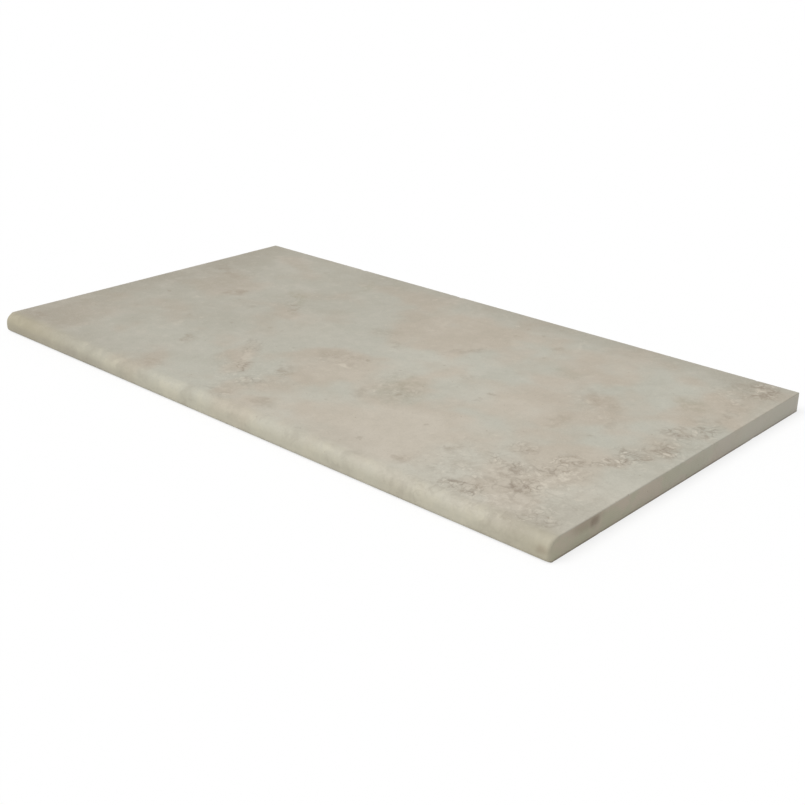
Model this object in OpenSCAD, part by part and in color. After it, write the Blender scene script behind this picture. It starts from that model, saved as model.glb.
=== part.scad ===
// Pool coping stone: one slab of honed stone whose long edge over the water is
// worked to a rounded nose. The other edges are sawn square and lightly eased.
// X runs along the pool edge, -Y is the water side and +Z is up, in millimetres.
// The origin is the middle of the bed face, under the middle of the outline.

/* [Slab] */
// Length along the pool edge
slab_length = 610; // [300:5:900]
// Width from the tip of the nose to the back joint face
slab_width = 330; // [200:5:450]
// Thickness from the bed face to the walking face
slab_thickness = 16.5; // [14:0.5:40]

/* [Nose] */
// Radius of the curve between the walking face and the front of the nose
nose_top_radius = 9; // [4:0.5:12]
// Radius of the curve between the front of the nose and the bed face
nose_bottom_radius = 4; // [2.5:0.5:7]

/* [Eased edges] */
// Width of the bevel rubbed on each sawn edge
arris = 0.8; // [0.4:0.1:1.5]

/* [Hidden] */

stone_colour = [0.78, 0.75, 0.68];
half_length = slab_length / 2;
back_y = slab_width / 2;
nose_y = -slab_width / 2;
// Centres of the two nose curves in the section, as [y, z]
top_centre = [nose_y + nose_top_radius, slab_thickness - nose_top_radius];
bottom_centre = [nose_y + nose_bottom_radius, nose_bottom_radius];
// Height of the flat front between the two curves
nose_flat = slab_thickness - nose_top_radius - nose_bottom_radius;
// How far a cutter reaches past the face that it cuts
past = 0.5;
// Turns an upright drawing so that its first axis is Y, its second Z and its third X
section_turn = [90, 0, 90];

// Waste outside a quarter circle of radius r, in a corner whose two faces leave
// the origin along +X and +Y
module corner_waste(r) {
    difference() {
        translate([-past, -past]) square(r + past);
        translate([r, r]) circle(r = r, $fn = 96);
    }
}

// Waste of a bevel on a corner whose solid lies on the -X, -Y side of the origin
module bevel_waste() {
    polygon([[past, past], [-arris - past, past], [past, -arris - past]]);
}

// Section across the slab, with Y to the right and Z up: rounded at the nose,
// and beveled at the two back corners
module section() {
    difference() {
        translate([nose_y, 0]) square([slab_width, slab_thickness]);
        translate([nose_y, 0]) corner_waste(nose_bottom_radius);
        translate([nose_y, slab_thickness]) mirror([0, 1]) corner_waste(nose_top_radius);
        translate([back_y, slab_thickness]) bevel_waste();
        translate([back_y, 0]) mirror([0, 1]) bevel_waste();
    }
}

// Straight bevel cutter for one side of an end face. It starts at start, faces
// outwards at the angle outward, and runs clockwise round the face.
module bevel_run(start, outward, run) {
    translate(start)
        rotate([0, 0, outward])
            rotate([90, 0, 0])
                linear_extrude(height = run) bevel_waste();
}

// Bevel cutter for a quarter turn of the nose, from the angle first to first + 90
module bevel_turn(centre, r, first) {
    translate(centre)
        rotate([0, 0, first])
            rotate_extrude(angle = 90, $fn = 96)
                translate([r, 0]) bevel_waste();
}

// All the cutters round one end face, in the section's own axes
module end_bevel() {
    // walking face, from the nose to the back
    bevel_run([top_centre[0], slab_thickness], 90, back_y - top_centre[0] + past);
    // back joint face, downwards
    bevel_run([back_y, slab_thickness + past], 0, slab_thickness + 2 * past);
    // bed face, from the back to the nose
    bevel_run([back_y + past, 0], -90, back_y + past - bottom_centre[0]);
    bevel_turn(bottom_centre, nose_bottom_radius, 180);
    // flat front of the nose, upwards
    bevel_run([nose_y, bottom_centre[1]], 180, nose_flat);
    bevel_turn(top_centre, nose_top_radius, 90);
}

module coping_stone() {
    color(stone_colour)
        rotate(section_turn)
            difference() {
                translate([0, 0, -half_length])
                    linear_extrude(height = slab_length) section();
                for (side = [0, 1])
                    mirror([0, 0, side])
                        translate([0, 0, half_length]) end_bevel();
            }
}

coping_stone();
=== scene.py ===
# %% [markdown]
# # A pool coping stone
#
# Coping stones cap the rim of a pool. Each one is a single slab of sawn stone. The long edge
# over the water is worked to a rounded nose, the other edges stay square and are only eased
# with a rubbing stone, and the face that people walk on is honed flat.
#
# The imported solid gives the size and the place. This lesson builds the same slab as a finer
# mesh with worn edges, and gives it the colours of a clouded, veined limestone.

# %% Load the frame
import math

import bmesh
import bpy
from mathutils import Matrix, Vector


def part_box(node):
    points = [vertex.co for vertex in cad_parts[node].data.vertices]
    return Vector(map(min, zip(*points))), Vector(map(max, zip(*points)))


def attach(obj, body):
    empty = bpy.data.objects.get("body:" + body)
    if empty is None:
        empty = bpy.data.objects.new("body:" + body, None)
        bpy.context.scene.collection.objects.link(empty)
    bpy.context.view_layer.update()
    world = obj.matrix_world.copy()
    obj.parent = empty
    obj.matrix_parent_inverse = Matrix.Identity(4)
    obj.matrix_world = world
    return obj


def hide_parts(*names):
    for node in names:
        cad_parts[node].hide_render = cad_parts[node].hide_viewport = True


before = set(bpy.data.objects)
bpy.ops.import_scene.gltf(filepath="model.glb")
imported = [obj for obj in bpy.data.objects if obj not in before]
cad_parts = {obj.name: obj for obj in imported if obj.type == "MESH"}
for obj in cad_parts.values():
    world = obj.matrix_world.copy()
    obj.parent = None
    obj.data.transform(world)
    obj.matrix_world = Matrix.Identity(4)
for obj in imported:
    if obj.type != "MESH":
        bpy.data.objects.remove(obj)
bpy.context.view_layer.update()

# %% [markdown]
# ## Sizes
#
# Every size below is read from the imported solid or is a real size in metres. The nose has two
# radii: a wide curve under the foot and a tighter one near the bed. An arris is the edge between
# two faces. All of them are eased by 0.8 mm, but where the nose meets an end the photograph shows
# a blunter corner, so the arris there grows to 2.6 mm.

# %% Read the sizes
MM = 0.001
NODE = "coping_stone"
low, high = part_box(NODE)
LENGTH = high.x - low.x
WIDTH = high.y - low.y
THICKNESS = high.z - low.z
NOSE_TOP_RADIUS = 9 * MM
NOSE_BOTTOM_RADIUS = 4 * MM
ARRIS = 0.8 * MM
NOSE_END_ARRIS = 2.6 * MM
print(f"slab {LENGTH:.4f} x {WIDTH:.4f} x {THICKNESS:.4f} m")

# %% [markdown]
# ## Camera
#
# The photograph looks down on the slab from in front of the right end of the nose. The place of
# the camera and its three angles were worked out from the corners of the slab in the photograph.
# A real tripod head has the same three movements, so the camera is turned in that order: heading,
# tilt, then roll.

# %% Place the camera
CAMERA_PLACE = Vector((0.6731, -0.7046, 0.3756))
CAMERA_HEADING = math.radians(42.19)
CAMERA_TILT_DOWN = math.radians(22.66)
CAMERA_ROLL = math.radians(0.766)
SENSOR_WIDTH_MM = 36
LENS_MM = 54.84
NEAREST_SEEN = 0.01
FARTHEST_SEEN = 100.0
UPRIGHT = math.radians(90)


def linked(name, data):
    """An object with this data, linked to the scene."""
    thing = bpy.data.objects.new(name, data)
    bpy.context.scene.collection.objects.link(thing)
    return thing


camera_data = bpy.data.cameras.new("camera")
camera_data.sensor_width = SENSOR_WIDTH_MM
camera_data.lens = LENS_MM
camera_data.clip_start = NEAREST_SEEN
camera_data.clip_end = FARTHEST_SEEN
camera = linked("camera", camera_data)
heading = Matrix.Rotation(CAMERA_HEADING, 4, "Z")
tilt = Matrix.Rotation(UPRIGHT - CAMERA_TILT_DOWN, 4, "X")
roll = Matrix.Rotation(CAMERA_ROLL, 4, "Z")
camera.matrix_world = Matrix.Translation(CAMERA_PLACE) @ heading @ tilt @ roll
bpy.context.scene.camera = camera
bpy.context.scene.view_settings.view_transform = "Standard"
print(f"camera {CAMERA_PLACE.length:.2f} m from the middle of the bed")

# %% [markdown]
# ## A helper for node trees
#
# Materials and Geometry Nodes are both node trees, and both are wired here by code. One small
# class keeps that short: it adds a node, fills its inputs with numbers or links, and hands back
# its outputs. It also lays the nodes out in rows, so that the tree can be read in the editor, and
# tells how many there are.

# %% Write the node helper
NODES_PER_ROW = 12
COLUMN_STEP = 190
ROW_STEP = 260


class Wiring:
    """Adds nodes to one tree and links them."""

    def __init__(self, tree):
        self.tree = tree
        self.count = 0

    def add(self, kind, inputs=None, **settings):
        """Adds a node with its properties. Inputs are {name or number: value or socket}."""
        node = self.tree.nodes.new(kind)
        column = self.count % NODES_PER_ROW
        row = self.count // NODES_PER_ROW
        node.location = (column * COLUMN_STEP, -row * ROW_STEP)
        self.count += 1
        for name, value in settings.items():
            setattr(node, name, value)
        for name, value in (inputs or {}).items():
            self.fill(node.inputs[name], value)
        return node

    def fill(self, socket, value):
        """Links a socket, or sets it to a plain value."""
        if isinstance(value, bpy.types.NodeSocket):
            self.tree.links.new(value, socket)
        else:
            socket.default_value = value

    def math(self, operation, *values):
        """One number from one, two or three others."""
        inputs = dict(enumerate(values))
        return self.add("ShaderNodeMath", inputs, operation=operation).outputs[0]

    def plus(self, first, second):
        """The sum of two numbers."""
        return self.math("ADD", first, second)

    def minus(self, first, second):
        """The first number less the second."""
        return self.math("SUBTRACT", first, second)

    def times(self, first, second):
        """The product of two numbers."""
        return self.math("MULTIPLY", first, second)

    def vector(self, operation, *values):
        """A vector from others, or a number for a length or a distance."""
        inputs = dict(enumerate(values))
        node = self.add("ShaderNodeVectorMath", inputs, operation=operation)
        single = operation in ("LENGTH", "DISTANCE")
        return node.outputs["Value" if single else "Vector"]

    def scale(self, vector, factor):
        """A vector made longer by a factor."""
        inputs = {"Vector": vector, "Scale": factor}
        return self.add("ShaderNodeVectorMath", inputs, operation="SCALE").outputs["Vector"]

    def ramp(self, value, start, end, low=0.0, high=1.0):
        """Goes smoothly from low to high as value goes from start to end, level outside."""
        inputs = {"Value": value, "From Min": start, "From Max": end, "To Min": low, "To Max": high}
        node = self.add("ShaderNodeMapRange", inputs, interpolation_type="SMOOTHSTEP")
        return node.outputs["Result"]

    def split(self, vector):
        """The three parts of a vector or of a colour."""
        return self.add("ShaderNodeSeparateXYZ", {"Vector": vector}).outputs

    def join(self, x, y, z):
        """A vector from its three parts."""
        return self.add("ShaderNodeCombineXYZ", {"X": x, "Y": y, "Z": z}).outputs["Vector"]

    def noise(self, place, grain_size, detail=2.0, roughness=0.5):
        """Cloudy noise with lumps of about grain_size metres. Gives (value from 0 to 1, colour)."""
        texture = {"Scale": 1 / grain_size, "Detail": detail, "Roughness": roughness}
        node = self.add("ShaderNodeTexNoise", {"Vector": place, **texture})
        return node.outputs[0], node.outputs[1]

    def tell(self, what):
        """Prints what was made, and how many nodes the tree has by then."""
        print(f"{what}, {self.count} nodes so far")

# %% [markdown]
# ## The shape of the slab
#
# A mason saws the slab square, then runs a profile wheel along one edge. The shape follows the
# same two rules: one outline across the slab, and one path along it. Geometry Nodes can hold
# both as curves. The outline starts in the middle of the back face and goes round over the top,
# the nose and the bed. The path starts in the middle of one end face, comes out to its edge,
# runs the length of the slab and goes in again. A box with bevels would have been quicker, but
# its nose would be a modifier setting and not a section that can be read and changed.

# %% Start the slab tree with named inputs
slab_tree = bpy.data.node_groups.new("coping_slab", "GeometryNodeTree")
SLAB_INPUTS = {
    "Length": ("NodeSocketFloat", LENGTH),
    "Width": ("NodeSocketFloat", WIDTH),
    "Thickness": ("NodeSocketFloat", THICKNESS),
    "Nose Top Radius": ("NodeSocketFloat", NOSE_TOP_RADIUS),
    "Nose Bottom Radius": ("NodeSocketFloat", NOSE_BOTTOM_RADIUS),
    "Arris": ("NodeSocketFloat", ARRIS),
    "Nose End Arris": ("NodeSocketFloat", NOSE_END_ARRIS),
    "Cuts Along": ("NodeSocketInt", 330),
    "Cuts Across": ("NodeSocketInt", 84),
    "Nose Segments": ("NodeSocketInt", 14),
    "Arris Segments": ("NodeSocketInt", 6),
    "Edge Wear": ("NodeSocketFloat", 0.12 * MM),
    "Chip Depth": ("NodeSocketFloat", 0.45 * MM),
    "Wear Seed": ("NodeSocketFloat", 4.0),
    "Stone": ("NodeSocketMaterial", None),
}
for name, (kind, value) in SLAB_INPUTS.items():
    socket = slab_tree.interface.new_socket(name, in_out="INPUT", socket_type=kind)
    if value is not None:
        socket.default_value = value
slab_tree.interface.new_socket("Geometry", in_out="OUTPUT", socket_type="NodeSocketGeometry")
slab = Wiring(slab_tree)
given = slab.add("NodeGroupInput").outputs
print(f"slab tree with {len(SLAB_INPUTS)} inputs")

# %% [markdown]
# ### Outline and path
#
# Both curves are a few corner points, filleted with their own radius at each corner. Only the
# straight stretches are then cut into steps: many on the long ones, a few on the short sides. The
# steps are crowded towards the corners, where the stone is worn and the light turns, and they
# are longest in the middle of a face.

# %% Draw a curve from corner points
def corner_curve(wiring, corners, radii, segments):
    """A poly curve through corners, each with its own radius and number of segments."""
    index = wiring.add("GeometryNodeInputIndex").outputs[0]
    place = wiring.add("GeometryNodeIndexSwitch", data_type="VECTOR")
    radius = wiring.add("GeometryNodeIndexSwitch", data_type="FLOAT")
    count = wiring.add("GeometryNodeIndexSwitch", data_type="INT")
    for switch, values in ((place, corners), (radius, radii), (count, segments)):
        while len(switch.index_switch_items) < len(values):
            switch.index_switch_items.new()
        wiring.fill(switch.inputs["Index"], index)
        for slot, value in enumerate(values):
            wiring.fill(switch.inputs[slot + 1], value)
    points = wiring.add("GeometryNodePoints", {"Count": len(corners), "Position": place.outputs[0]})
    curve = wiring.add("GeometryNodePointsToCurves", {"Points": points.outputs[0]}).outputs[0]
    held = wiring.add("GeometryNodeCaptureAttribute", {"Geometry": curve}, domain="POINT")
    held.capture_items.new("FLOAT", "radius")
    held.capture_items.new("INT", "count")
    wiring.fill(held.inputs["radius"], radius.outputs[0])
    wiring.fill(held.inputs["count"], count.outputs[0])
    fillet_inputs = {
        "Curve": held.outputs["Geometry"],
        "Radius": held.outputs["radius"],
        "Count": held.outputs["count"],
    }
    return wiring.add("GeometryNodeFilletCurve", fillet_inputs, mode="POLY").outputs[0]


def cut_long_runs(wiring, curve, longest, cuts, side_run, side_cuts):
    """Cuts segments over longest by cuts, and shorter ones over side_run by side_cuts."""
    index = wiring.add("GeometryNodeInputIndex").outputs[0]
    here = wiring.add("GeometryNodeInputPosition").outputs[0]
    next_inputs = {"Index": wiring.plus(index, 1), "Value": here}
    there = wiring.add("GeometryNodeFieldAtIndex", next_inputs, data_type="FLOAT_VECTOR").outputs[0]
    run = wiring.vector("DISTANCE", here, there)
    is_long = wiring.math("GREATER_THAN", run, longest)
    is_side = wiring.math("GREATER_THAN", run, side_run)
    side = wiring.times(is_side, side_cuts)
    extra = wiring.times(is_long, wiring.minus(cuts, side_cuts))
    inputs = {"Curve": curve, "Cuts": wiring.plus(side, extra)}
    return wiring.add("GeometryNodeSubdivideCurve", inputs).outputs[0]


def crowd(wiring, value, start, end, strength):
    """Moves values between start and end towards the two ends. Values outside stay."""
    middle = wiring.times(wiring.plus(start, end), 0.5)
    half = wiring.times(wiring.minus(end, start), 0.5)
    share = wiring.math("DIVIDE", wiring.minus(value, middle), half)
    inputs = {"Value": share, "Min": -1.0, "Max": 1.0}
    share = wiring.add("ShaderNodeClamp", inputs).outputs[0]
    wave = wiring.math("SINE", wiring.times(share, math.pi))
    move = wiring.times(wiring.times(wave, half), strength / math.pi)
    return wiring.plus(value, move)

# %% Draw the outline across the slab
SIDE_RUN = 5 * MM
SIDE_CUTS = 3
LONG_RUN = 0.1

half_width = slab.times(given["Width"], 0.5)
minus_half_width = slab.times(given["Width"], -0.5)
half_thickness = slab.times(given["Thickness"], 0.5)
nose_curve_end = slab.minus(given["Thickness"], given["Nose Top Radius"])
nose_middle = slab.times(slab.plus(nose_curve_end, given["Nose Bottom Radius"]), 0.5)
back_middle = slab.join(half_width, half_thickness, 0.0)
arris = given["Arris"]
arris_steps = given["Arris Segments"]
nose_steps = given["Nose Segments"]
outline = corner_curve(
    slab,
    corners=[
        back_middle,
        slab.join(half_width, given["Thickness"], 0.0),
        slab.join(minus_half_width, given["Thickness"], 0.0),
        slab.join(minus_half_width, nose_middle, 0.0),
        slab.join(minus_half_width, 0.0, 0.0),
        slab.join(half_width, 0.0, 0.0),
        back_middle,
    ],
    radii=[0.0, arris, given["Nose Top Radius"], 0.0, given["Nose Bottom Radius"], arris, 0.0],
    segments=[1, arris_steps, nose_steps, 1, nose_steps, arris_steps, 1],
)
outline = cut_long_runs(slab, outline, LONG_RUN, given["Cuts Across"], SIDE_RUN, SIDE_CUTS)
slab.tell("outline drawn")

# %% Draw the path along the slab
half_length = slab.times(given["Length"], 0.5)
minus_half_length = slab.times(given["Length"], -0.5)
path = corner_curve(
    slab,
    corners=[
        slab.join(minus_half_length, half_thickness, 0.0),
        slab.join(minus_half_length, 0.0, 0.0),
        slab.join(half_length, 0.0, 0.0),
        slab.join(half_length, half_thickness, 0.0),
    ],
    radii=[0.0, arris, arris, 0.0],
    segments=[1, arris_steps, arris_steps, 1],
)
path = cut_long_runs(slab, path, LONG_RUN, given["Cuts Along"], SIDE_RUN, SIDE_CUTS)
slab.tell("path drawn")

# %% [markdown]
# ### From two curves to one closed skin
#
# A grid has one row of points for each point of the path and one column for each point of the
# outline. Each grid point looks up its own pair. On the body of the slab it simply goes to the
# outline. Over the end arris the outline shrinks by the rubbed edge, and across the end face each
# point of the upper half closes on its partner in the lower half. Round the nose the end arris
# grows, so the body ends a little earlier there. Where rows and columns meet themselves the
# points are merged, so the skin is watertight.

# %% Look up the path and the outline for each grid point
CROWDING_ALONG = 0.45


def point_count(curve):
    """The number of points of a curve."""
    sizes = slab.add("GeometryNodeAttributeDomainSize", {"Geometry": curve}, component="CURVE")
    return sizes.outputs["Point Count"]


path_count = point_count(path)
outline_count = point_count(outline)
grid_inputs = {"Vertices X": path_count, "Vertices Y": outline_count}
grid = slab.add("GeometryNodeMeshGrid", grid_inputs).outputs["Mesh"]
number = slab.add("GeometryNodeInputIndex").outputs[0]
# Half a point more keeps the rounding from slipping back a row.
row = slab.math("FLOOR", slab.math("DIVIDE", slab.plus(number, 0.5), outline_count))
column = slab.minus(number, slab.times(row, outline_count))
last_column = slab.minus(outline_count, 1)
partner_column = slab.minus(last_column, column)


def look_up(curve, value, index):
    """The value that a curve has at its point number index."""
    inputs = {"Geometry": curve, "Value": value, "Index": index}
    kind = {"data_type": "FLOAT_VECTOR", "domain": "POINT"}
    return slab.add("GeometryNodeSampleIndex", inputs, **kind).outputs[0]


point_place = slab.add("GeometryNodeInputPosition").outputs[0]
path_x, path_inset, _ = slab.split(look_up(path, point_place, row))
arris_start = slab.minus(half_length, arris)
along = crowd(slab, path_x, slab.times(arris_start, -1), arris_start, CROWDING_ALONG)
from_middle = slab.math("ABSOLUTE", along)
side_sign = slab.math("SIGN", along)
slab.tell("rows and columns looked up")

# %% Find the outline point, its outward direction and its growth at the end
CROWDING_ACROSS = 0.8
NOSE_BLEND_START = 0.0
NOSE_BLEND_FULL = -0.60

nose_start_radius = given["Nose Top Radius"]
nose_end_radius = given["Nose Bottom Radius"]
radius_step = slab.minus(nose_start_radius, nose_end_radius)
extra_arris = slab.minus(given["Nose End Arris"], arris)


def between(value, lowest, highest):
    """A value kept between two others."""
    return slab.math("MINIMUM", slab.math("MAXIMUM", value, lowest), highest)


def choose(switch, when_one, when_zero):
    """The first value where switch is 1 and the second where it is 0."""
    return slab.math("MULTIPLY_ADD", switch, slab.minus(when_one, when_zero), when_zero)


def outline_point(index):
    """Place of an outline point, its outward direction, and how much wider its end arris is."""
    across, up, _ = slab.split(look_up(outline, point_place, index))
    upper = slab.math("GREATER_THAN", up, nose_middle)
    front = slab.math("LESS_THAN", across, 0.0)
    nose_radius = slab.math("MULTIPLY_ADD", upper, radius_step, nose_end_radius)
    radius = choose(front, nose_radius, arris)
    run_start = slab.plus(minus_half_width, nose_radius)
    run_end = slab.minus(half_width, arris)
    centre_y = between(across, run_start, run_end)
    lowest = choose(upper, nose_middle, radius)
    highest = choose(upper, slab.minus(given["Thickness"], radius), nose_middle)
    centre_z = between(up, lowest, highest)
    away = slab.join(0.0, slab.minus(across, centre_y), slab.minus(up, centre_z))
    outward = slab.vector("NORMALIZE", away)
    nose_share = slab.ramp(slab.split(outward)[1], NOSE_BLEND_START, NOSE_BLEND_FULL)
    end_arris = slab.math("MULTIPLY_ADD", nose_share, extra_arris, arris)
    crowded = crowd(slab, across, run_start, run_end, CROWDING_ACROSS)
    return slab.join(0.0, crowded, up), outward, slab.math("DIVIDE", end_arris, arris)


own_place, own_outward, own_growth = outline_point(column)
partner_place, partner_outward, partner_growth = outline_point(partner_column)
slab.tell("outline points found")

# %% Shrink the outline over the arris and close the end face
arris_inset = slab.math("MINIMUM", path_inset, arris)
own_inset = slab.times(arris_inset, own_growth)
partner_inset = slab.times(arris_inset, partner_growth)
own_ring = slab.vector("SUBTRACT", own_place, slab.scale(own_outward, own_inset))
partner_ring = slab.vector("SUBTRACT", partner_place, slab.scale(partner_outward, partner_inset))
_, halfway_y, _ = slab.split(slab.scale(slab.vector("ADD", own_ring, partner_ring), 0.5))
middle_line_end = slab.minus(half_width, half_thickness)
halfway_y = between(halfway_y, slab.times(middle_line_end, -1.0), middle_line_end)
halfway = slab.join(0.0, halfway_y, half_thickness)
face_inset = slab.minus(path_inset, arris)
closing = slab.math("DIVIDE", face_inset, slab.minus(half_thickness, arris))
closing = between(closing, 0.0, 1.0)
toward_partner = slab.scale(slab.vector("SUBTRACT", halfway, own_ring), closing)
ring_place = slab.vector("ADD", own_ring, toward_partner)
slab.tell("end faces closed")

# %% Place each ring along the slab
body_end = slab.minus(half_length, slab.times(arris, own_growth))
body_scale = slab.math("DIVIDE", body_end, arris_start)
body_part = slab.times(slab.math("MINIMUM", from_middle, arris_start), body_scale)
arris_part = slab.math("MAXIMUM", slab.minus(from_middle, arris_start), 0.0)
reach = slab.math("MULTIPLY_ADD", arris_part, own_growth, body_part)
skin_x = slab.times(reach, side_sign)
skin_place = slab.vector("ADD", ring_place, slab.join(skin_x, 0.0, 0.0))
slab.tell("rings placed")

# %% [markdown]
# ### What the skin has to remember
#
# The material needs to know two things that only the shape knows: which faces are left as sawn,
# and how near a point is to a sharp edge. Both are stored on the points while the path and the
# outline are still at hand. Finding them again in the material would mean repeating the sizes.

# %% Find the sawn faces and the nearness to an edge
SAWN_TURN = 0.8
END_FACE_INSET = 0.9
EDGE_REACH = 3 * MM

_, outward_y, outward_z = slab.split(own_outward)
on_end = slab.math("GREATER_THAN", path_inset, slab.times(arris, END_FACE_INSET))
on_back = slab.math("GREATER_THAN", outward_y, SAWN_TURN)
on_bed = slab.math("LESS_THAN", outward_z, -SAWN_TURN)
sawn = slab.math("MAXIMUM", on_end, slab.math("MAXIMUM", on_back, on_bed))


def above_zero(value):
    """A value, or zero where it is negative."""
    return slab.math("MAXIMUM", value, 0.0)


_, place_y, place_z = slab.split(own_place)
before_end = above_zero(slab.minus(arris_start, from_middle))
from_back = above_zero(slab.minus(slab.minus(half_width, arris), place_y))
from_flat = slab.math("MINIMUM", slab.minus(given["Thickness"], place_z), place_z)
from_flat = above_zero(slab.minus(from_flat, arris))
edge_distance = slab.math("MINIMUM", before_end, slab.plus(from_back, from_flat))
edge_distance = slab.plus(edge_distance, above_zero(face_inset))
edge_nearness = slab.minus(1.0, slab.math("DIVIDE", edge_distance, EDGE_REACH))
edge_nearness = above_zero(edge_nearness)
slab.tell("sawn faces and edges found")

# %% Store them on the skin
MERGE_REACH = 0.01 * MM


def store(mesh, name, value):
    """The mesh with a named number on each point."""
    inputs = {"Geometry": mesh, "Name": name, "Value": value}
    kind = {"data_type": "FLOAT", "domain": "POINT"}
    return slab.add("GeometryNodeStoreNamedAttribute", inputs, **kind).outputs[0]


skin = slab.add("GeometryNodeSetPosition", {"Geometry": grid, "Position": skin_place}).outputs[0]
skin = store(skin, "sawn", sawn)
skin = store(skin, "edge", edge_nearness)
merge_inputs = {"Geometry": skin, "Distance": MERGE_REACH}
skin = slab.add("GeometryNodeMergeByDistance", merge_inputs).outputs[0]
skin = slab.add("GeometryNodeFlipFaces", {"Mesh": skin}).outputs[0]
slab.tell("skin closed")

# %% [markdown]
# ### Worn edges
#
# A rubbing stone never takes the same amount off along a whole edge, and a slab that has been
# handled has lost small flakes from its corners. Both only take stone away, so each point near an
# edge is pushed inwards along its normal: a little everywhere, and deeper in a few places.
# Cutting real chips with a boolean was the other way, but it leaves thin triangles.

# %% Wear the edges
WEAR_WAVE = 22 * MM
CHIP_SIZE = 7 * MM
CHIP_START = 0.64
CHIP_FULL = 0.78
EDGE_WIDTH_FALLOFF = 2.0

seed_step = slab.join(given["Wear Seed"], 0.0, 0.0)
worn_place = slab.vector("ADD", slab.add("GeometryNodeInputPosition").outputs[0], seed_step)
edge = slab.add("GeometryNodeInputNamedAttribute", {"Name": "edge"}, data_type="FLOAT").outputs[0]
edge = slab.math("POWER", edge, EDGE_WIDTH_FALLOFF)
wave, _ = slab.noise(worn_place, WEAR_WAVE)
flake, _ = slab.noise(worn_place, CHIP_SIZE, detail=1.0)
chip = slab.times(slab.ramp(flake, CHIP_START, CHIP_FULL), given["Chip Depth"])
wear = slab.math("MULTIPLY_ADD", wave, given["Edge Wear"], chip)
depth = slab.times(wear, edge)
normal = slab.add("GeometryNodeInputNormal").outputs[0]
inward = slab.scale(normal, slab.times(depth, -1.0))
skin = slab.add("GeometryNodeSetPosition", {"Geometry": skin, "Offset": inward}).outputs[0]
slab.tell("edges worn")

# %% Finish the tree
skin = slab.add("GeometryNodeSetShadeSmooth", {"Geometry": skin}).outputs[0]
skin = slab.add("GeometryNodeRealizeInstances", {"Geometry": skin}).outputs[0]
stone_inputs = {"Geometry": skin, "Material": given["Stone"]}
skin = slab.add("GeometryNodeSetMaterial", stone_inputs).outputs[0]
slab.add("NodeGroupOutput", {"Geometry": skin})
print(f"slab tree with {slab.count} nodes")

# %% [markdown]
# ## The stone, tone by tone
#
# This limestone is a pale, slightly green ivory with warm beige clouds. It formed from mud and
# broken shell, so there are darker stains, pale lumps, and at one end a band of crushed stone
# that was healed by brown veins. A picture wrapped round the slab would show its edges, so the
# pattern is made of noise in the slab's own space and runs through it, as in real stone. Colours
# are written as a colour picker shows them, and turned into the linear light that nodes use.

# %% Name the tones
STRAIGHT_PART_END = 0.04045
STRAIGHT_PART_SLOPE = 12.92
CURVE_OFFSET = 0.055
CURVE_POWER = 2.4


def linear_share(share):
    """One part of a screen colour, from 0 to 1, in linear light."""
    if share <= STRAIGHT_PART_END:
        return share / STRAIGHT_PART_SLOPE
    return ((share + CURVE_OFFSET) / (1 + CURVE_OFFSET)) ** CURVE_POWER


def linear(red, green, blue):
    """A colour of 0 to 255 steps, as a screen shows it, in linear light."""
    return tuple(linear_share(step / 255) for step in (red, green, blue)) + (1.0,)


IVORY = linear(181, 179, 166)
BEIGE = linear(180, 170, 154)
PALE = linear(206, 199, 185)
SHADE = linear(155, 148, 133)
BROWN = linear(142, 127, 108)
OLIVE = linear(150, 144, 122)
UMBER = linear(108, 92, 76)
CREAM = linear(216, 208, 192)
BUFF = linear(186, 181, 161)
BUTTER = linear(202, 196, 176)
HONEY = linear(164, 154, 124)
SAWN_OLIVE = linear(183, 179, 157)
SAWN_BROWN = linear(192, 180, 163)
SAWN_PALE = linear(208, 204, 194)


def empty_tree(block):
    """Wiring for the emptied node tree of a material or a world."""
    block.use_nodes = True
    block.node_tree.nodes.clear()
    return Wiring(block.node_tree)


stone = bpy.data.materials.new("honed_limestone")
look = empty_tree(stone)
place = look.add("ShaderNodeTexCoord").outputs["Object"]
along, across, up = look.split(place)
print("ivory in linear light:", [round(share, 3) for share in IVORY[:3]])

# %% Lay one tone on another
COLOUR_UNDER = 6
COLOUR_OVER = 7
COLOUR_RESULT = 2


def times(first, second):
    """Two masks multiplied, or a mask made weaker."""
    return look.times(first, second)


def lay(under, over, amount):
    """Colour over laid on colour under by amount from 0 to 1."""
    node = look.add("ShaderNodeMix", data_type="RGBA")
    look.fill(node.inputs["Factor"], amount)
    look.fill(node.inputs[COLOUR_UNDER], under)
    look.fill(node.inputs[COLOUR_OVER], over)
    return node.outputs[COLOUR_RESULT]

# %% [markdown]
# ### Ragged space
#
# Stains in stone have no straight or smooth borders. Bending the coordinates with noise first
# makes every shape drawn on them ragged, so a few bends serve all. Large clouds get a wide lazy
# bend, stains a tight one, and the smallest stains a finer one.

# %% Bend the coordinates
NOISE_MIDDLE = (0.5, 0.5, 0.5)


def bend(where, lump_size, reach, detail):
    """Coordinates pushed about by up to half of reach, in lumps of lump_size."""
    _, push = look.noise(where, lump_size, detail=detail)
    push = look.vector("SUBTRACT", push, NOISE_MIDDLE)
    return look.vector("ADD", where, look.scale(push, reach))


cloud_place = bend(place, lump_size=70 * MM, reach=90 * MM, detail=2.0)
stain_place = bend(place, lump_size=14 * MM, reach=22 * MM, detail=3.0)
speck_place = bend(place, lump_size=8 * MM, reach=5 * MM, detail=3.0)
look.tell("coordinates bent")

# %% [markdown]
# ### One soft spot
#
# Every cloud, stain and vein below is drawn in a soft spot at a chosen place. The spot is a node
# group, so that its few nodes are drawn once. It measures how far a point is from the centre of
# the spot, as a share of the reach in each direction. Spots that are given in plan reach a metre
# up and down, so each goes down through the slab and out over the nose and the ends.

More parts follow.
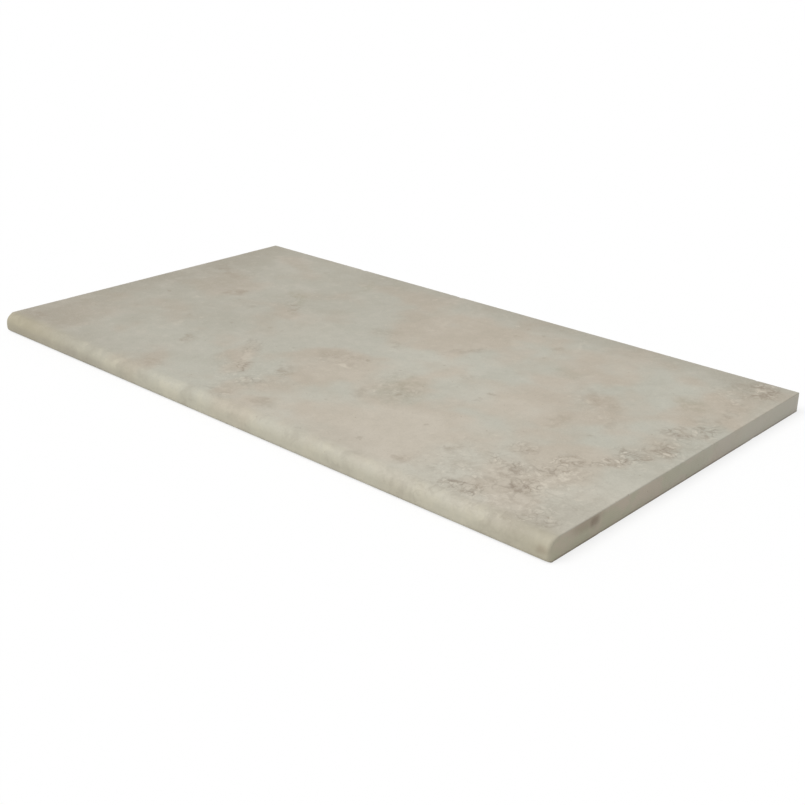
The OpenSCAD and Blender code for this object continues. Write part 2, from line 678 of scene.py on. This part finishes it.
# %% Make the spot group
SPOT_INPUTS = {
    "Place": "NodeSocketVector",
    "Centre": "NodeSocketVector",
    "Reach": "NodeSocketVector",
    "Turn": "NodeSocketFloat",
    "Strength": "NodeSocketFloat",
}
SPOT_CORE = 0.35
SPOT_RIM = 1.25

spot_tree = bpy.data.node_groups.new("soft_spot", "ShaderNodeTree")
for name, kind in SPOT_INPUTS.items():
    spot_tree.interface.new_socket(name, in_out="INPUT", socket_type=kind)
spot_tree.interface.new_socket("Mask", in_out="OUTPUT", socket_type="NodeSocketFloat")
spot = Wiring(spot_tree)
asked = spot.add("NodeGroupInput").outputs
offset = spot.vector("SUBTRACT", asked["Place"], asked["Centre"])
turn_inputs = {"Vector": offset, "Angle": spot.times(asked["Turn"], -1.0)}
turned = spot.add("ShaderNodeVectorRotate", turn_inputs, rotation_type="Z_AXIS").outputs[0]
in_reaches = spot.vector("DIVIDE", turned, asked["Reach"])
share = spot.vector("LENGTH", in_reaches)
mask = spot.times(spot.ramp(share, SPOT_RIM, SPOT_CORE), asked["Strength"])
spot.add("NodeGroupOutput", {"Mask": mask})
spot.tell("spot group made")

# %% Gather spots into one mask
THROUGH_THE_SLAB = 1000.0


def one_spot(where, centre, reach, turn=0.0, strength=1.0):
    """Mask of one soft spot. Centre and reach are (x, y, z) in mm, turn is in degrees."""
    node = look.add("ShaderNodeGroup", node_tree=spot_tree)
    look.fill(node.inputs["Place"], where)
    look.fill(node.inputs["Centre"], Vector(centre) * MM)
    look.fill(node.inputs["Reach"], Vector(reach) * MM)
    look.fill(node.inputs["Turn"], math.radians(turn))
    look.fill(node.inputs["Strength"], strength)
    return node.outputs["Mask"]


def spots(where, rows):
    """The strongest of spots: x, y, half length, half width (mm), turn (degrees), strength."""
    total = None
    for x, y, half_long, half_wide, turn, strength in rows:
        reach = (half_long, half_wide, THROUGH_THE_SLAB)
        mask = one_spot(where, (x, y, 0), reach, turn, strength)
        total = mask if total is None else look.math("MAXIMUM", total, mask)
    return total

# %% [markdown]
# ### Clouds
#
# The broad tones come first. Warm beige lies over the ivory in wide clouds, helped by a slow drift
# of noise, and a few cool clouds take some of it away again. The left back of the slab is a little
# darker and the front right corner paler: painted shade and a painted pool of light, as the light
# falls off away from the front right. The slab also darkens towards its left, front and back edges,
# again painted shade. That darkening comes in two layers, because in one layer only the strongest
# spot counts. The second layer also holds three small spots near the front. A weak mottle breaks
# all of it.

# %% Place the clouds
BEIGE_CLOUDS = [
    (25, 95, 80, 75, -30, 1.00),
    (160, 105, 70, 70, 0, 0.90),
    (-240, 45, 60, 42, -30, 1.00),
    (-275, -115, 50, 65, 0, 1.00),
    (-245, 135, 45, 25, 0, 0.70),
    (-135, 15, 28, 18, -45, 0.70),
    (190, 0, 70, 60, 40, 0.90),
    (0, -50, 60, 50, 0, 0.90),
    (125, -110, 80, 55, 0, 0.85),
    (245, -90, 50, 75, 0, 0.80),
    (270, 80, 45, 60, 0, 0.75),
    (-75, -85, 50, 22, -40, 0.75),
    (-128, -80, 36, 28, 0, 0.60),
    (-20, -122, 52, 44, 0, 0.55),
    (-140, -155, 40, 18, 0, 0.40),
    (40, -156, 60, 18, 0, 0.40),
    (132, 62, 32, 26, 0, 0.60),
    (100, -32, 24, 20, 0, 0.45),
    (185, -75, 34, 34, 0, 0.50),
    (240, -15, 34, 44, 0, 0.60),
    (-90, 140, 50, 25, 0, 0.70),
    (215, 45, 45, 35, 0, 0.85),
    (232, 108, 40, 35, 0, 0.45),
    (277, 0, 30, 50, 0, 0.50),
    (277, 138, 25, 28, 0, 0.60),
]
COOL_CLOUDS = [
    (25, 35, 34, 24, -30, 0.40),
    (48, -28, 32, 26, 0, 0.50),
    (155, -22, 42, 26, 0, 0.40),
    (195, 98, 32, 30, 0, 0.40),
    (-215, 152, 95, 24, 0, 0.45),
    (40, 145, 70, 24, 0, 0.35),
    (280, 88, 20, 40, 0, 0.30),
    (278, -110, 26, 50, 0, 0.30),
]
# Painted shade: the left of the slab darker, as the light falls off towards it.
PAINTED_SHADE_CLOUDS = [
    (-230, 60, 260, 240, 15, 0.42),
    (-245, 45, 60, 30, -25, 0.50),
    (-285, -120, 55, 60, 0, 0.62),
]
# The first row is a painted pool of light over the front right. The smaller rows are paler patches
# of stone.
PALE_AND_PAINTED_LIGHT_CLOUDS = [
    (225, -135, 250, 95, 6, 0.40),
    (125, -105, 60, 45, 0, 0.38),
    (70, 5, 60, 45, -30, 0.22),
    (35, -45, 55, 35, 0, 0.22),
    (158, -20, 44, 40, 0, 0.22),
    (14, 32, 30, 22, 0, 0.18),
    (88, -45, 52, 26, 0, 0.16),
    (-90, 0, 40, 35, 0, 0.16),
]
# Mostly painted shade: the left end, the back edge and the corners darker as the light falls off,
# and the nose darker near its right end.
PAINTED_EDGE_SHADES = [
    (-330, -165, 230, 55, 0, 0.62),
    (-335, 60, 120, 240, 0, 0.48),
    (-290, -85, 60, 50, 0, 0.28),
    (-290, 155, 70, 40, 0, 0.30),
    (130, 190, 270, 72, 0, 0.40),
    (288, 160, 45, 40, 0, 0.42),
    (284, -166, 45, 20, 0, 0.42),
    (300, -140, 30, 45, 0, 0.30),
    (120, 72, 80, 45, 0, 0.10),
]
# More painted shade along the left end, the back edge and the back corners. The last three rows are
# small darker spots near the front.
PAINTED_RIM_SHADES = [
    (-322, 70, 60, 150, 0, 0.70),
    (-322, -92, 56, 60, 0, 0.60),
    (-322, -160, 50, 30, 0, 0.40),
    (0, 174, 340, 40, 0, 0.34),
    (-125, 162, 60, 34, 0, 0.45),
    (258, 172, 48, 44, 0, 0.52),
    (-135, -118, 44, 26, 0, 0.20),
    (-230, -96, 38, 28, 0, 0.20),
    (100, -152, 44, 24, 0, 0.20),
]
print(f"{len(BEIGE_CLOUDS) + len(COOL_CLOUDS)} clouds of hue")
shade_count = len(PAINTED_SHADE_CLOUDS) + len(PAINTED_EDGE_SHADES) + len(PAINTED_RIM_SHADES)
print(f"{len(PALE_AND_PAINTED_LIGHT_CLOUDS)} pale clouds, {shade_count} dark ones")

# %% Lay the clouds
MOTTLE_SIZE = 34 * MM
DRIFT_SIZE = 48 * MM
DRIFT_STRENGTH = 2.8
DRIFT_SHIFT = -1.35
BEIGE_FULL = 0.9
SOFT_MOTTLE = [
    (SHADE, 0.50, 0.72, 0.14),
    (PALE, 0.50, 0.28, 0.12),
]


def mottle(under, field, rows, within=None):
    """Lays tones by a field. Rows: tone, level where it starts, level where it is full, amount."""
    for over, start, full, amount in rows:
        mask = look.ramp(field, start, full, high=amount)
        if within is not None:
            mask = times(within, mask)
        under = lay(under, over, mask)
    return under


soft_mottle, _ = look.noise(place, MOTTLE_SIZE, detail=3.0, roughness=0.6)
drift, _ = look.noise(place, DRIFT_SIZE, detail=2.0, roughness=0.55)
drift = look.math("MULTIPLY_ADD", drift, DRIFT_STRENGTH, DRIFT_SHIFT)
warmth = look.plus(spots(cloud_place, BEIGE_CLOUDS), drift)
warmth = look.minus(warmth, spots(cloud_place, COOL_CLOUDS))
tone = lay(IVORY, BEIGE, look.ramp(warmth, 0.0, BEIGE_FULL))
# Painted shade at the left and the edges, and a painted pool of light over the front right, laid
# into the tone.
tone = lay(tone, SHADE, spots(cloud_place, PAINTED_SHADE_CLOUDS))
tone = lay(tone, PALE, spots(cloud_place, PALE_AND_PAINTED_LIGHT_CLOUDS))
tone = lay(tone, SHADE, spots(place, PAINTED_EDGE_SHADES))
tone = lay(tone, SHADE, spots(place, PAINTED_RIM_SHADES))
tone = mottle(tone, soft_mottle, SOFT_MOTTLE)
look.tell("clouds laid")

# %% [markdown]
# ### Stains and pale lumps
#
# Stains follow old cracks, so many of them lean the same way, from upper left to lower right as
# seen from above. Each is broken up by a small mottle, because an even spot looks painted.

# %% Place the stains
OLIVE_STAINS = [
    (-150, 55, 26, 10, -45, 0.75),
    (78, -50, 34, 22, -50, 0.56),
    (258, 82, 18, 13, -20, 0.55),
    (152, 72, 16, 12, 0, 0.35),
    (-126, 126, 22, 8, -65, 0.45),
]
BROWN_STAINS = [
    (-205, 27, 14, 9, 90, 0.70),
    (-130, 30, 18, 8, -45, 0.55),
    (-266, 66, 30, 8, -25, 0.45),
    (-135, -92, 12, 10, -40, 0.75),
    (-18, -84, 13, 8, -60, 0.70),
    (-5, -35, 26, 18, 0, 0.40),
    (15, -21, 4, 3, 0, 0.60),
    (-25, 40, 18, 12, 30, 0.35),
    (6, 25, 14, 3, -40, 0.45),
    (62, 56, 24, 6, 50, 0.40),
    (112, 111, 6, 5, 0, 0.45),
    (-185, -52, 7, 4, -40, 0.50),
    (-162, 6, 7, 4, -40, 0.45),
    (-241, -64, 5, 4, 0, 0.50),
    (200, -10, 20, 6, 90, 0.32),
    (205, 42, 22, 9, -30, 0.32),
    (232, 10, 14, 4, -55, 0.32),
    (135, -5, 6, 5, 0, 0.55),
    (97, 10, 6, 5, 0, 0.40),
    (177, -102, 6, 9, 0, 0.60),
    (162, -142, 8, 8, 0, 0.60),
    (57, -77, 8, 14, 20, 0.50),
    (20, -140, 16, 8, 0, 0.45),
    (-107, -147, 16, 8, 0, 0.40),
    (-285, -147, 18, 10, 0, 0.45),
]
CREAM_LUMPS = [
    (-22, -120, 9, 5, -30, 0.50),
    (8, -42, 7, 5, 0, 0.50),
    (-66, -80, 14, 4, -45, 0.35),
    (-174, -69, 8, 4, -45, 0.25),
    (2, 92, 15, 5, -50, 0.16),
    (77, 100, 12, 6, -50, 0.18),
    (122, 130, 16, 4, -80, 0.18),
    (260, -100, 26, 5, 90, 0.55),
    (282, 146, 6, 4, 0, 0.80),
    (289, -10, 8, 4, 90, 0.60),
]
print(f"{len(OLIVE_STAINS) + len(BROWN_STAINS)} stains, {len(CREAM_LUMPS)} lumps")

# %% Lay the stains
SMALL_MOTTLE_SIZE = 7 * MM
BREAK_LEVELS = (0.34, 0.62)
LEFT_IN_BREAKS = 0.35
OLIVE_AMOUNT = 0.65
BROWN_AMOUNT = 0.68
CREAM_AMOUNT = 0.80

small_mottle, _ = look.noise(place, SMALL_MOTTLE_SIZE, detail=3.0, roughness=0.65)
broken = look.ramp(small_mottle, *BREAK_LEVELS, low=LEFT_IN_BREAKS)
olive = times(spots(stain_place, OLIVE_STAINS), broken)
brown = times(spots(stain_place, BROWN_STAINS), broken)
tone = lay(tone, OLIVE, times(olive, OLIVE_AMOUNT))
tone = lay(tone, BROWN, times(brown, BROWN_AMOUNT))
tone = lay(tone, CREAM, times(spots(stain_place, CREAM_LUMPS), CREAM_AMOUNT))
look.tell("stains and lumps laid")

# %% [markdown]
# ### Crushed stone and brown veins
#
# Towards the right end the stone was crushed and healed again. Pale pebbles of a few millimetres
# lie between thin brown veins. The band is placed with spots, and a fainter lumpy ground round
# it carries the same pebbles, and veins at half strength.

# %% Place the crushed band
CRUSHED_BAND = [
    (284, 146, 24, 12, -65, 0.70),
    (292, 45, 20, 9, 70, 0.75),
    (277, 28, 14, 11, 0, 0.90),
    (289, -5, 18, 9, 80, 0.80),
    (272, -26, 18, 10, 0, 0.95),
    (270, -45, 24, 9, 60, 0.95),
    (248, -78, 26, 14, 85, 0.85),
    (248, -118, 22, 15, 90, 1.00),
    (220, -98, 22, 12, 0, 0.80),
    (222, -145, 24, 13, 25, 0.95),
    (212, -70, 16, 12, 0, 0.45),
    (280, -148, 20, 14, 0, 0.60),
    (258, -158, 34, 9, 0, 0.45),
    (200, -160, 26, 8, 0, 0.45),
    (258, -62, 36, 10, 55, 0.60),
    (236, -128, 36, 12, 65, 0.55),
    (238, -96, 44, 22, 30, 0.40),
    (282, 8, 36, 9, 80, 0.50),
    (284, 96, 50, 8, -80, 0.32),
    (-50, -102, 18, 6, -50, 0.85),
    (-22, -120, 16, 13, 0, 0.60),
    (-80, -66, 24, 8, -42, 0.45),
    (-20, -150, 20, 8, 0, 0.40),
    (80, -50, 24, 18, -45, 0.22),
    (62, 58, 22, 7, 50, 0.18),
]
LUMPY_GROUND = [
    (240, -112, 78, 52, 0, 0.48),
    (285, 10, 26, 70, 0, 0.40),
    (275, 130, 30, 40, 0, 0.35),
    (-35, -112, 62, 38, -20, 0.30),
    (80, -52, 40, 30, -40, 0.25),
    (0, -35, 40, 30, 0, 0.20),
    (205, 35, 50, 30, -30, 0.25),
    (-140, 45, 45, 25, -40, 0.18),
]
VEINS_IN_LUMPY = 0.50

crushed = spots(stain_place, CRUSHED_BAND)
lumpy = look.math("MAXIMUM", crushed, spots(cloud_place, LUMPY_GROUND))
veined = look.math("MAXIMUM", crushed, times(lumpy, VEINS_IN_LUMPY))
print(f"{len(CRUSHED_BAND)} crushed spots, {len(LUMPY_GROUND)} lumpy ones")

# %% [markdown]
# The veins are the lines where a noise field crosses one level. They wander and close on
# themselves, as veins do, and a second noise breaks them up: long veins where it is high, and
# short twigs where it is low. Cutting the veins from a picture would fix them to one face.

# %% Draw the veins
VEIN_SPACING = 26 * MM
TWIG_SPACING = 12 * MM
VEIN_LEVEL = 0.50
TWIG_LEVEL = 0.47
VEIN_HALF_WIDTH = 0.050
VEIN_CORE = 0.1
GAP_SIZE = 11 * MM
LINE_GAPS = (0.40, 0.56)
TWIG_GAPS = (0.58, 0.44)


def contour(where, spacing, level):
    """Soft wandering lines where a noise field crosses a level."""
    field, _ = look.noise(where, spacing, detail=1.0, roughness=0.45)
    gap = look.math("ABSOLUTE", look.minus(field, level))
    return look.ramp(gap, VEIN_HALF_WIDTH, VEIN_HALF_WIDTH * VEIN_CORE)


gaps, _ = look.noise(place, GAP_SIZE, detail=2.0)
lines = times(contour(stain_place, VEIN_SPACING, VEIN_LEVEL), look.ramp(gaps, *LINE_GAPS))
twigs = times(contour(place, TWIG_SPACING, TWIG_LEVEL), look.ramp(gaps, *TWIG_GAPS))
veins = times(look.math("MAXIMUM", lines, twigs), veined)
look.tell("veins drawn")

# %% [markdown]
# The pebbles are Voronoi cells. Plain cells look like a net, so they are drawn in space that is
# bent twice. Each cell has a number of its own: a high one gives it a pale core and a thin crack
# along its border. The rim is the darker ground that stays between the cores.

# %% Draw the pebbles
PEBBLE_SIZE = 6.0 * MM
CORE_FADE = (0.60, 0.15)
CORE_KINDS = (0.35, 0.90)
RIM_FADE = (0.34, 0.62)
RIM_GAPS = (0.38, 0.60)
CRACK_FADE = (0.12, 0.03)
CRACK_KINDS = (0.45, 0.60)


def cells(where, size, **settings):
    """The outputs of Voronoi cells about size metres wide."""
    inputs = {"Vector": where, "Scale": 1 / size}
    return look.add("ShaderNodeTexVoronoi", inputs, **settings).outputs


pebble_place = bend(stain_place, lump_size=5 * MM, reach=9 * MM, detail=3.0)
pebbles = cells(pebble_place, PEBBLE_SIZE)
borders = cells(pebble_place, PEBBLE_SIZE, feature="DISTANCE_TO_EDGE")
from_core = pebbles["Distance"]
pebble_kind = look.split(pebbles["Color"])[0]
core = times(look.ramp(from_core, *CORE_FADE), look.ramp(pebble_kind, *CORE_KINDS))
rim = times(look.ramp(from_core, *RIM_FADE), look.ramp(gaps, *RIM_GAPS))
crack = times(look.ramp(borders["Distance"], *CRACK_FADE), look.ramp(pebble_kind, *CRACK_KINDS))
look.tell("pebbles drawn")

# %% Lay the crushed band
GROUND_AMOUNT = 0.13
RIM_AMOUNT = 0.32
CRACK_AMOUNT = 0.30
CORE_AMOUNT = 0.62
VEIN_AMOUNT = 0.44

tone = lay(tone, BROWN, times(crushed, GROUND_AMOUNT))
tone = lay(tone, BROWN, times(times(rim, lumpy), RIM_AMOUNT))
tone = lay(tone, UMBER, times(times(crack, veined), CRACK_AMOUNT))
tone = lay(tone, CREAM, times(times(core, lumpy), CORE_AMOUNT))
tone = lay(tone, UMBER, times(veins, VEIN_AMOUNT))
look.tell("crushed band laid")

# %% [markdown]
# ### Flecks
#
# Everywhere between the clouds lie small separate flecks, darker or paler than the ground. They
# are the cores of wide Voronoi cells. The first number of a cell sets how large its fleck is, and
# nearly half of the cells get next to none; the second one makes it dark or pale.

# %% Lay the flecks
FLECK_SIZE = 17 * MM
FLECK_KINDS = (0.45, 1.0)
LARGEST_FLECK = 0.22
FLECK_BORDER = (0.03, -0.10)
FLECK_BREAKS = (0.40, 0.58)
LEFT_IN_FLECK_BREAKS = 0.3
FLECK_TONES = [
    (BROWN, 0.45, 0.55, 0.32),
    (CREAM, 0.45, 0.35, 0.26),
]

flecks = cells(stain_place, FLECK_SIZE)
fleck_kind, fleck_tint, _ = look.split(flecks["Color"])
fleck_reach = look.ramp(fleck_kind, *FLECK_KINDS, high=LARGEST_FLECK)
fleck = look.ramp(look.minus(flecks["Distance"], fleck_reach), *FLECK_BORDER)
fleck = times(fleck, look.ramp(small_mottle, *FLECK_BREAKS, low=LEFT_IN_FLECK_BREAKS))
tone = mottle(tone, fleck_tint, FLECK_TONES, within=fleck)
look.tell("flecks laid")

# %% [markdown]
# ### Grain and pores
#
# Close up the stone is a fine crystal grain with a few open pores. The grain is the finest noise.
# The pores are once more the cores of Voronoi cells, about a millimetre wide, and four cells out
# of five have none.

# %% Lay the grain and the pores
GRAIN_SIZE = 1.4 * MM
PORE_SPACING = 5 * MM
PORE_KINDS = (0.80, 1.0)
LARGEST_PORE = 0.16
PORE_BORDER = (0.0, -0.06)
PORE_AMOUNT = 0.5
SMALL_MOTTLE = [
    (SHADE, 0.50, 0.72, 0.13),
    (CREAM, 0.48, 0.30, 0.09),
]
GRAIN_TONES = [
    (UMBER, 0.52, 0.72, 0.09),
    (CREAM, 0.48, 0.28, 0.13),
]

grain, _ = look.noise(place, GRAIN_SIZE, detail=2.0, roughness=0.7)
tone = mottle(tone, small_mottle, SMALL_MOTTLE)
tone = mottle(tone, grain, GRAIN_TONES)
pores = cells(place, PORE_SPACING)
pore_reach = look.ramp(look.split(pores["Color"])[0], *PORE_KINDS, high=LARGEST_PORE)
pore = look.ramp(look.minus(pores["Distance"], pore_reach), *PORE_BORDER)
tone = lay(tone, BROWN, times(pore, PORE_AMOUNT))
look.tell("grain and pores laid")

# %% [markdown]
# ### Rubbed edges and the nose
#
# Rubbed edges are very slightly paler, because bruised crystals scatter light. The nose was ground
# by a wheel and is more yellow than the top, most of all near the bed, with weak blotches of its
# own. This tone fades in over the last 18 mm. Towards its two ends the nose is darker and the
# colour of honey, more so at the left, where most of the darkening is painted shade as the light
# falls off.

# %% Lay the edges and the nose
EDGE_AMOUNT = 0.05
NOSE_TONE_START = -WIDTH / 2 + 18 * MM
NOSE_TONE_FULL = -WIDTH / 2 + 3 * MM
NOSE_MOTTLE_SIZE = 20 * MM
LOW_ON_NOSE = 6 * MM
BUFF_AT_TOP = 0.20
BUFF_LOW_DOWN = 0.60
LEFT_END_START = -0.18
LEFT_END_FULL = -0.28
LEFT_SHADE_AND_HONEY = 0.40
RIGHT_END_START = 0.26
RIGHT_END_FULL = 0.30
RIGHT_HONEY = 0.28
NOSE_MOTTLE = [
    (BUTTER, 0.48, 0.72, 0.42),
    (SHADE, 0.50, 0.30, 0.35),
]

edge_mask = look.add("ShaderNodeAttribute", attribute_name="edge").outputs["Fac"]
tone = lay(tone, CREAM, times(edge_mask, EDGE_AMOUNT))
on_nose = look.ramp(across, NOSE_TONE_START, NOSE_TONE_FULL)
nose_mottle, _ = look.noise(stain_place, NOSE_MOTTLE_SIZE, detail=3.0, roughness=0.6)
yellow = look.ramp(up, THICKNESS, LOW_ON_NOSE, low=BUFF_AT_TOP, high=BUFF_LOW_DOWN)
# Painted shade in a honey colour over the left end of the nose.
left_honey_shade = look.ramp(along, LEFT_END_START, LEFT_END_FULL, high=LEFT_SHADE_AND_HONEY)
right_end = look.ramp(along, RIGHT_END_START, RIGHT_END_FULL, high=RIGHT_HONEY)
tone = lay(tone, BUFF, times(on_nose, yellow))
tone = mottle(tone, nose_mottle, NOSE_MOTTLE, within=on_nose)
tone = lay(tone, HONEY, times(on_nose, look.plus(left_honey_shade, right_end)))
look.tell("edges and nose laid")

# %% [markdown]
# ### Sawn faces, the last stains and painted shade
#
# The ends, the back and the bed were cut and never honed. They are browner than the top. The
# pattern of the slab hardly shows through them at the front and shows more towards the back, where
# they also get paler. One small brown stain in a wider halo sits in the right end a few centimetres
# behind the nose, and a fainter one on the nose at that end. The nose is also darker low down in
# its left half, a painted shade. The lowest two millimetres are darker all round, a painted contact
# shadow where the slab meets the floor.

# %% Lay the sawn faces
FRONT = -WIDTH / 2
BACK = WIDTH / 2
SAWN_MOTTLE_SIZE = 30 * MM
SAWN_LEVELS = (0.42, 0.58)
SAWN_AT_FRONT = 0.90
SAWN_AT_BACK = 0.40
PALER_FROM = -0.10
PALER_AMOUNT = 0.50

sawn_mask = look.add("ShaderNodeAttribute", attribute_name="sawn").outputs["Fac"]
sawn_mottle, _ = look.noise(place, SAWN_MOTTLE_SIZE, detail=4.0, roughness=0.6)
sawn_tone = lay(SAWN_OLIVE, SAWN_BROWN, look.ramp(sawn_mottle, *SAWN_LEVELS))
sawn_share = look.ramp(across, FRONT, BACK, low=SAWN_AT_FRONT, high=SAWN_AT_BACK)
paler_back = look.ramp(across, PALER_FROM, BACK, high=PALER_AMOUNT)
tone = lay(tone, sawn_tone, times(sawn_mask, sawn_share))
tone = lay(tone, SAWN_PALE, times(sawn_mask, paler_back))
look.tell("sawn faces laid")

# %% Lay the last stains, the painted nose shade and the painted contact shadow
BED_SHADOW_TOP = 2.2 * MM
BED_SHADOW_FULL = 0.8 * MM
BED_SHADOW_LEVELS = (0.70, 0.40)
WEAKEST_BED_SHADOW = 0.30
STRONGEST_BED_SHADOW = 0.65

end_halo = one_spot(speck_place, (304, -126, 14), (30, 20, 6), strength=0.40)
end_stain = one_spot(speck_place, (304, -117, 11), (8, 5.5, 5), strength=0.44)
nose_stain = one_spot(speck_place, (299, -163, 8), (5, 5, 4), strength=0.40)
# Painted shade low on the left half of the nose.
low_nose_shade = one_spot(speck_place, (-225, -168, 3), (150, 16, 8), strength=0.42)
# A painted contact shadow: the lowest two millimetres darker all round, made uneven by the nose
# mottle.
bed_shadow = look.ramp(up, BED_SHADOW_TOP, BED_SHADOW_FULL)
bed_shadow_amount = look.ramp(nose_mottle, *BED_SHADOW_LEVELS, low=WEAKEST_BED_SHADOW, high=STRONGEST_BED_SHADOW)
bed_shadow = times(bed_shadow, bed_shadow_amount)
tone = lay(tone, BROWN, times(end_halo, sawn_mask))
tone = lay(tone, UMBER, times(end_stain, sawn_mask))
tone = lay(tone, BROWN, nose_stain)
tone = lay(tone, SHADE, low_nose_shade)
tone = lay(tone, UMBER, bed_shadow)
look.tell("last stains laid")

# %% [markdown]
# ### Surface
#
# Honed stone is matt with a faint sheen, and a sawn face is rougher. The height for the bump is
# the grain with the pores cut into it. Sawn faces add the wavy marks that the blade leaves.

# %% Wire the surface
SHEEN = 0.35
HONED_ROUGHNESS = 0.50
MOTTLE_ROUGHNESS = 0.12
MOTTLE_LEVELS = (0.30, 0.70)
SAWN_EXTRA_ROUGHNESS = 0.25
SAW_PITCH = 1.6 * MM
SAW_BEND_SIZE = 60 * MM
SAW_WANDER = 6.0
SAW_DEPTH = 0.35
PORE_DEPTH = 2.0
GRAIN_DEPTH = 0.05 * MM

rougher = HONED_ROUGHNESS + MOTTLE_ROUGHNESS
roughness = look.ramp(soft_mottle, *MOTTLE_LEVELS, low=HONED_ROUGHNESS, high=rougher)
roughness = look.plus(roughness, times(sawn_mask, SAWN_EXTRA_ROUGHNESS))
saw_bend, _ = look.noise(place, SAW_BEND_SIZE)
saw_phase = look.math("MULTIPLY_ADD", up, 2 * math.pi / SAW_PITCH, times(saw_bend, SAW_WANDER))
saw_mark = times(look.math("SINE", saw_phase), times(sawn_mask, SAW_DEPTH))
height = look.minus(look.plus(grain, saw_mark), times(pore, PORE_DEPTH))
bump_inputs = {"Height": height, "Distance": GRAIN_DEPTH, "Strength": 1.0}
bump = look.add("ShaderNodeBump", bump_inputs).outputs[0]
surface_inputs = {
    "Base Color": tone,
    "Roughness": roughness,
    "Normal": bump,
    "Specular IOR Level": SHEEN,
}
surface = look.add("ShaderNodeBsdfPrincipled", surface_inputs)
look.add("ShaderNodeOutputMaterial", {"Surface": surface.outputs["BSDF"]})
print(f"stone material with {look.count} nodes")

# %% [markdown]
# ## From the tree to a plain mesh
#
# The modifier gets its material by the socket's identifier, because two sockets may share a
# name. The result is copied into a plain mesh, and the empty object that carried the modifier is
# removed. The open edges and the volume are then measured: a stone slab has no open edge.

# %% Build the slab
host = linked("slab_host", bpy.data.meshes.new("slab_host"))
modifier = host.modifiers.new("coping_slab", "NODES")
modifier.node_group = slab_tree
for item in slab_tree.interface.items_tree:
    if item.in_out == "INPUT" and item.name == "Stone":
        modifier[item.identifier] = stone
graph = bpy.context.evaluated_depsgraph_get()
built = host.evaluated_get(graph)
mesh = bpy.data.meshes.new_from_object(built, preserve_all_data_layers=True, depsgraph=graph)
bpy.data.objects.remove(host)
mesh.name = "coping_stone_dressed"
mesh.attributes.remove(mesh.attributes["material_index"])
mesh.materials.clear()
mesh.materials.append(stone)
piece = linked("coping_stone_dressed", mesh)
triangles = sum(len(face.vertices) - 2 for face in mesh.polygons)
print(f"dressed stone: {len(mesh.vertices)} points, {triangles} triangles")

# %% Measure the slab
CUBIC_MM = 1e9

shape = bmesh.new()
shape.from_mesh(mesh)
volume = shape.calc_volume(signed=True)
open_edges = sum(1 for edge in shape.edges if len(edge.link_faces) != 2)
shape.free()
print(f"volume {volume * CUBIC_MM:.0f} cubic mm, open edges {open_edges}")

# %% [markdown]
# ## The floor
#
# The slab was photographed on white, with hardly any shadow. Rays that come straight from the
# camera, or by way of a sheen, therefore meet a floor that is mostly plain white and for a
# quarter a lit sheet, which keeps a faint shadow. All other rays meet a light grey sheet, so that
# the floor sends back as much light as paper would and no more.

# %% Make the floor
FLOOR_HALF_SIDE = 8.0
SHEET_GREY = (0.82, 0.82, 0.81, 1.0)
PLAIN_WHITE = (1.0, 1.0, 1.0, 1.0)
LIT_SHARE = 0.25
FLOOR_CORNERS = [(-1, -1, 0), (1, -1, 0), (1, 1, 0), (-1, 1, 0)]


def seen_directly(wiring):
    """1 for rays from the camera, of a reflection or through glass, 0 for rays that carry light."""
    rays = wiring.add("ShaderNodeLightPath").outputs
    bent = wiring.math("MAXIMUM", rays["Is Glossy Ray"], rays["Is Transmission Ray"])
    return wiring.math("MAXIMUM", rays["Is Camera Ray"], bent)


floor_mesh = bpy.data.meshes.new("floor")
floor_points = [Vector(corner) * FLOOR_HALF_SIDE for corner in FLOOR_CORNERS]
floor_mesh.from_pydata(floor_points, [], [(0, 1, 2, 3)])
floor = linked("floor", floor_mesh)
paper = bpy.data.materials.new("white_floor")
sheet = empty_tree(paper)
grey_sheet = sheet.add("ShaderNodeBsdfDiffuse", {"Color": SHEET_GREY}).outputs[0]
white_sheet = sheet.add("ShaderNodeBsdfDiffuse", {"Color": PLAIN_WHITE}).outputs[0]
plain = sheet.add("ShaderNodeEmission", {"Color": PLAIN_WHITE, "Strength": 1.0}).outputs[0]
shown = sheet.add("ShaderNodeMixShader", {0: LIT_SHARE, 1: plain, 2: white_sheet}).outputs[0]
finish_inputs = {0: seen_directly(sheet), 1: grey_sheet, 2: shown}
finish = sheet.add("ShaderNodeMixShader", finish_inputs).outputs[0]
sheet.add("ShaderNodeOutputMaterial", {"Surface": finish})
floor_mesh.materials.append(paper)
sheet.tell("floor laid")

# %% [markdown]
# ## The light
#
# In the photograph the top is the brightest face, the nose follows and the right end is darker,
# and no shadow has a hard border. One very wide sun from above the left of the nose gives these
# steps, and an even sky fills the rest. The strengths were set by comparing tones of the render
# with the photograph. The sky looks plain white to the camera.

# %% Light the studio
SKY_STRENGTH = 0.48
SUN_STRENGTH = 1.90
SUN_ANGLE = math.radians(40)
SUN_FROM = Vector((-0.25, -0.45, 0.86))

sun_data = bpy.data.lights.new("soft_sun", "SUN")
sun_data.energy = SUN_STRENGTH
sun_data.angle = SUN_ANGLE
sun = linked("soft_sun", sun_data)
sun.rotation_euler = SUN_FROM.to_track_quat("Z", "Y").to_euler()
world = bpy.data.worlds.new("studio")
bpy.context.scene.world = world
air = empty_tree(world)
strength = air.ramp(seen_directly(air), 0.0, 1.0, low=SKY_STRENGTH, high=1.0)
sky = air.add("ShaderNodeBackground", {"Color": PLAIN_WHITE, "Strength": strength}).outputs[0]
air.add("ShaderNodeOutputWorld", {"Surface": sky})
print("one sun and a plain sky")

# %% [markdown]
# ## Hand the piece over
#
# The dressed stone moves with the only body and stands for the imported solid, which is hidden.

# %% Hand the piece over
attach(piece, "root")
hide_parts(NODE)
